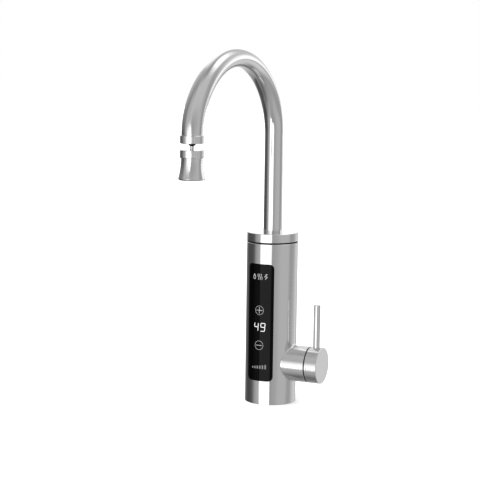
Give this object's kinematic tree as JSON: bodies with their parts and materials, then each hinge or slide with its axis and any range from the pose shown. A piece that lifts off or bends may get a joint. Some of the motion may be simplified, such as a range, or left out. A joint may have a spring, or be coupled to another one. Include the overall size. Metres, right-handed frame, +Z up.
{
  "type": "electric instant water heater tap",
  "caption": "Tall kitchen tap that heats water as it flows: round steel body with a curved black display, side lever valve, swan-neck swivel spout and a tilting bell spray head.",
  "frame": {"origin": "centre of the body's round foot, on the deck face", "axes": "+Z up along the body; -Y towards the display and the spout's end; +X to the side of the valve branch and its lever"},
  "size_m": [0.0887, 0.2096, 0.3774],
  "materials": {
    "satin_steel": "satin, brushed round the turned parts and along the tubes",
    "inner_steel": "plain drawn steel",
    "brass": "machined",
    "black_glass": "high gloss, back printed",
    "black_rubber": "matt",
    "black_plastic": "moulded, glossy",
    "grey_nylon": "moulded, matt",
    "white_plastic": "moulded, matt",
    "circuit_board": "solder mask",
    "ceramic": "lapped ceramic",
    "dark_component": "moulded, matt"
  },
  "bodies": {
    "body": {"base_gasket": "black_rubber", "base_plate": "grey_nylon", "base_screws": "inner_steel", "board_bracket": "grey_nylon", "branch_seam_ring": "black_rubber", "cap_seal_ring": "black_rubber", "cartridge_nut": "brass", "chamber_gasket": "black_rubber", "chamber_lid": "brass", "control_board": "circuit_board", "control_components": "dark_component", "cord_gland": "black_rubber", "digit_module": "dark_component", "display_board": "circuit_board", "display_window": "black_glass", "earth_screw": "inner_steel", "element_terminals": "inner_steel", "fixed_disc": "ceramic", "flow_switch_body": "grey_nylon", "heating_chamber": "inner_steel", "heating_element": "inner_steel", "housing_shell": "satin_steel", "inlet_filter": "white_plastic", "inlet_seal": "black_rubber", "inlet_socket": "brass", "slip_washers": "white_plastic", "socket_screws": "inner_steel", "socket_seal": "black_rubber", "spout_socket": "brass", "temperature_probe": "inner_steel", "terminal_block": "white_plastic", "thermal_cutout": "dark_component", "top_cap": "satin_steel", "touch_pads": "black_rubber", "triac": "dark_component", "valve_body": "brass", "valve_cartridge": "grey_nylon"},
    "handle": {"handle_knob": "satin_steel", "lever_rod": "satin_steel", "knob_set_screw": "inner_steel", "cartridge_spindle": "brass", "spindle_seal": "black_rubber", "moving_disc": "ceramic"},
    "spout": {"spout_tube": "satin_steel", "spout_collar": "inner_steel", "spout_nipple": "brass", "spout_seals": "black_rubber", "outlet_collar": "satin_steel"},
    "ball_joint_seat": {"ball_seat": "black_rubber"},
    "spray_head": {"swivel_ball": "black_plastic", "ball_stem": "satin_steel", "aerator_ring": "satin_steel", "aerator_bell": "satin_steel", "aerator_core": "white_plastic", "spray_plate": "white_plastic"},
    "flow_float": {"flow_float": "white_plastic"}
  },
  "joints": [
    {"name": "spout_swivel", "type": "hinge", "parent": "body", "child": "spout", "pos_m": [0, 0, 0.17], "axis": [0, 0, 1], "continuous": true},
    {"name": "handle_turn", "type": "hinge", "parent": "body", "child": "handle", "pos_m": [0.05274, 0.00415, 0.043], "axis": [0.9969, 0.0785, 0], "range_deg": [-90, 90]},
    {"name": "ball_turn", "type": "hinge", "parent": "spout", "child": "ball_joint_seat", "pos_m": [0, -0.16865, 0.2881], "axis": [0, 0, 1], "continuous": true},
    {"name": "head_tilt", "type": "hinge", "parent": "ball_joint_seat", "child": "spray_head", "pos_m": [0, -0.16865, 0.2881], "axis": [1, 0, 0], "range_deg": [-20, 20]},
    {"name": "float_lift", "type": "slide", "parent": "body", "child": "flow_float", "axis": [0, 0, 1], "range_m": [0, 0.005]}
  ]
}
